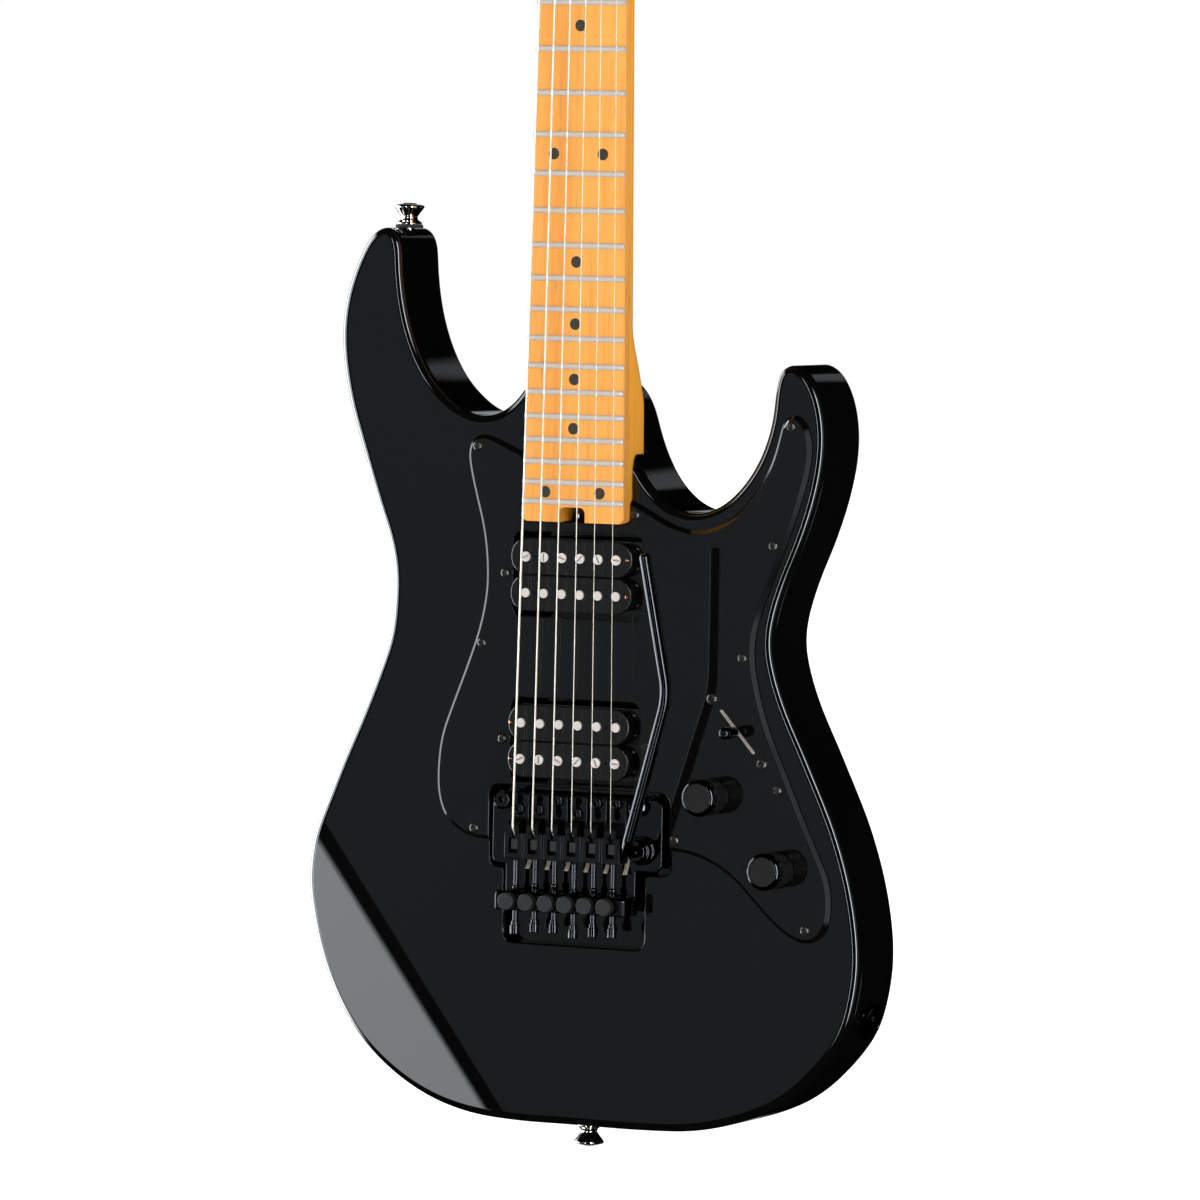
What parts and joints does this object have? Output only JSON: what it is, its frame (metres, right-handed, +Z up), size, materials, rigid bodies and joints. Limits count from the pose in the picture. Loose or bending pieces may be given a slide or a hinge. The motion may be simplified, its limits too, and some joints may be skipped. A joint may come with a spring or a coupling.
{
  "type": "electric guitar",
  "caption": "Solid-body electric guitar with double cutaway, pickguard, bolt-on maple neck, humbucking pickups and a double-locking tremolo with arm.",
  "frame": {"origin": "middle of the lower strap button's outer face, on the body's centre line and mid thickness", "axes": "+Z up the neck, +X to the right seen from the front, front faces -Y"},
  "size_m": [0.3121, 0.1035, 1.0056],
  "materials": {
    "body_lacquer": "gloss black lacquer over wood",
    "guard_plastic": "gloss black",
    "neck_maple": "satin amber tint",
    "board_maple": "satin amber tint",
    "black_hardware": "black plated steel",
    "bobbin_plastic": "semi-gloss black",
    "string_steel": "drawn wire",
    "steel": "plated steel",
    "nickel": "polished nickel"
  },
  "bodies": {
    "instrument": {"body": "body_lacquer", "pickguard": "guard_plastic", "spring_cover": "guard_plastic", "neck": "neck_maple", "fretboard": "board_maple", "neck_plate": "black_hardware", "locking_nut": "black_hardware", "nut_clamp_1": "black_hardware", "nut_clamp_2": "black_hardware", "nut_clamp_3": "black_hardware", "tuner_plate": "black_hardware", "neck_pickup": "bobbin_plastic", "bridge_pickup": "bobbin_plastic", "pivot_stud_bass": "black_hardware", "pivot_stud_treble": "black_hardware", "spring_bass": "steel", "spring_treble": "steel", "spring_claw": "steel", "switch_body": "steel", "volume_pot": "steel", "tone_pot": "steel", "jack": "black_hardware", "strap_button_lower": "nickel", "strap_button_upper": "nickel", "string_1": "string_steel", "string_2": "string_steel", "string_3": "string_steel", "string_4": "string_steel", "string_5": "string_steel", "string_6": "string_steel"},
    "tremolo": {"tremolo_base": "black_hardware", "tremolo_block": "black_hardware", "saddle_1": "black_hardware", "saddle_2": "black_hardware", "saddle_3": "black_hardware", "saddle_4": "black_hardware", "saddle_5": "black_hardware", "saddle_6": "black_hardware"},
    "arm": {"tremolo_arm": "black_hardware"},
    "fine_tuner_screw_1": {"fine_tuner_1": "black_hardware"},
    "fine_tuner_screw_2": {"fine_tuner_2": "black_hardware"},
    "fine_tuner_screw_3": {"fine_tuner_3": "black_hardware"},
    "fine_tuner_screw_4": {"fine_tuner_4": "black_hardware"},
    "fine_tuner_screw_5": {"fine_tuner_5": "black_hardware"},
    "fine_tuner_screw_6": {"fine_tuner_6": "black_hardware"},
    "key_1": {"tuner_key_1": "black_hardware"},
    "post_1": {"tuner_post_1": "black_hardware"},
    "key_2": {"tuner_key_2": "black_hardware"},
    "post_2": {"tuner_post_2": "black_hardware"},
    "key_3": {"tuner_key_3": "black_hardware"},
    "post_3": {"tuner_post_3": "black_hardware"},
    "key_4": {"tuner_key_4": "black_hardware"},
    "post_4": {"tuner_post_4": "black_hardware"},
    "key_5": {"tuner_key_5": "black_hardware"},
    "post_5": {"tuner_post_5": "black_hardware"},
    "key_6": {"tuner_key_6": "black_hardware"},
    "post_6": {"tuner_post_6": "black_hardware"},
    "volume_control": {"volume_knob": "black_hardware"},
    "tone_control": {"tone_knob": "black_hardware"},
    "selector": {"switch_lever": "guard_plastic"}
  },
  "joints": [
    {"name": "tremolo_pivot", "type": "hinge", "parent": "instrument", "child": "tremolo", "pos_m": [0, -0.0245, 0.1687], "axis": [1, 0, 0], "range_deg": [-14, 6], "stiffness_Nm_per_rad": 16, "deforming": ["string_1", "string_2", "string_3", "string_4", "string_5", "string_6", "spring_bass", "spring_treble"]},
    {"name": "arm_swivel", "type": "hinge", "parent": "tremolo", "child": "arm", "pos_m": [0.0398, -0.026, 0.1515], "axis": [0, -1, 0], "range_deg": [-110, 60]},
    {"name": "fine_tuner_1_turn", "type": "hinge", "parent": "tremolo", "child": "fine_tuner_screw_1", "pos_m": [-0.027, -0.04, 0.12375], "axis": [0, -1, 0], "range_deg": [-720, 720]},
    {"name": "fine_tuner_2_turn", "type": "hinge", "parent": "tremolo", "child": "fine_tuner_screw_2", "pos_m": [-0.0162, -0.04, 0.12375], "axis": [0, -1, 0], "range_deg": [-720, 720]},
    {"name": "fine_tuner_3_turn", "type": "hinge", "parent": "tremolo", "child": "fine_tuner_screw_3", "pos_m": [-0.0054, -0.04, 0.12375], "axis": [0, -1, 0], "range_deg": [-720, 720]},
    {"name": "fine_tuner_4_turn", "type": "hinge", "parent": "tremolo", "child": "fine_tuner_screw_4", "pos_m": [0.0054, -0.04, 0.12375], "axis": [0, -1, 0], "range_deg": [-720, 720]},
    {"name": "fine_tuner_5_turn", "type": "hinge", "parent": "tremolo", "child": "fine_tuner_screw_5", "pos_m": [0.0162, -0.04, 0.12375], "axis": [0, -1, 0], "range_deg": [-720, 720]},
    {"name": "fine_tuner_6_turn", "type": "hinge", "parent": "tremolo", "child": "fine_tuner_screw_6", "pos_m": [0.027, -0.04, 0.12375], "axis": [0, -1, 0], "range_deg": [-720, 720]},
    {"name": "key_1_turn", "type": "hinge", "parent": "instrument", "child": "key_1", "pos_m": [-0.02573, 0.00098, 0.85263], "axis": [-0.962, 0.0568, 0.2672], "continuous": true},
    {"name": "post_1_turn", "type": "hinge", "parent": "instrument", "child": "post_1", "pos_m": [-0.0213, -0.01855, 0.8555], "axis": [0, -0.9781, 0.2079], "continuous": true},
    {"name": "key_2_turn", "type": "hinge", "parent": "instrument", "child": "key_2", "pos_m": [-0.01862, 0.00618, 0.87709], "axis": [-0.962, 0.0568, 0.2672], "continuous": true},
    {"name": "post_2_turn", "type": "hinge", "parent": "instrument", "child": "post_2", "pos_m": [-0.0142, -0.01335, 0.87995], "axis": [0, -0.9781, 0.2079], "continuous": true},
    {"name": "key_3_turn", "type": "hinge", "parent": "instrument", "child": "key_3", "pos_m": [-0.01153, 0.01138, 0.90154], "axis": [-0.962, 0.0568, 0.2672], "continuous": true},
    {"name": "post_3_turn", "type": "hinge", "parent": "instrument", "child": "post_3", "pos_m": [-0.0071, -0.00815, 0.90441], "axis": [0, -0.9781, 0.2079], "continuous": true},
    {"name": "key_4_turn", "type": "hinge", "parent": "instrument", "child": "key_4", "pos_m": [-0.00443, 0.01658, 0.926], "axis": [-0.962, 0.0568, 0.2672], "continuous": true},
    {"name": "post_4_turn", "type": "hinge", "parent": "instrument", "child": "post_4", "pos_m": [0, -0.00295, 0.92886], "axis": [0, -0.9781, 0.2079], "continuous": true},
    {"name": "key_5_turn", "type": "hinge", "parent": "instrument", "child": "key_5", "pos_m": [0.00267, 0.02178, 0.95045], "axis": [-0.962, 0.0568, 0.2672], "continuous": true},
    {"name": "post_5_turn", "type": "hinge", "parent": "instrument", "child": "post_5", "pos_m": [0.0071, 0.00224, 0.95332], "axis": [0, -0.9781, 0.2079], "continuous": true},
    {"name": "key_6_turn", "type": "hinge", "parent": "instrument", "child": "key_6", "pos_m": [0.00978, 0.02697, 0.9749], "axis": [-0.962, 0.0568, 0.2672], "continuous": true},
    {"name": "post_6_turn", "type": "hinge", "parent": "instrument", "child": "post_6", "pos_m": [0.0142, 0.00744, 0.97777], "axis": [0, -0.9781, 0.2079], "continuous": true},
    {"name": "volume_turn", "type": "hinge", "parent": "instrument", "child": "volume_control", "pos_m": [0.0767, -0.03, 0.1802], "axis": [0, -1, 0], "range_deg": [-300, 0]},
    {"name": "tone_turn", "type": "hinge", "parent": "instrument", "child": "tone_control", "pos_m": [0.1128, -0.03, 0.146], "axis": [0, -1, 0], "range_deg": [-300, 0]},
    {"name": "pickup_selector", "type": "hinge", "parent": "instrument", "child": "selector", "pos_m": [0.0894, 0.0005, 0.21245], "axis": [0.7434, 0, 0.6688], "range_deg": [-22, 22]}
  ],
  "couplings": [
    {"joint": "post_1_turn", "follows": "key_1_turn", "ratio": 0.066667},
    {"joint": "post_2_turn", "follows": "key_2_turn", "ratio": 0.066667},
    {"joint": "post_3_turn", "follows": "key_3_turn", "ratio": 0.066667},
    {"joint": "post_4_turn", "follows": "key_4_turn", "ratio": 0.066667},
    {"joint": "post_5_turn", "follows": "key_5_turn", "ratio": 0.066667},
    {"joint": "post_6_turn", "follows": "key_6_turn", "ratio": 0.066667}
  ]
}
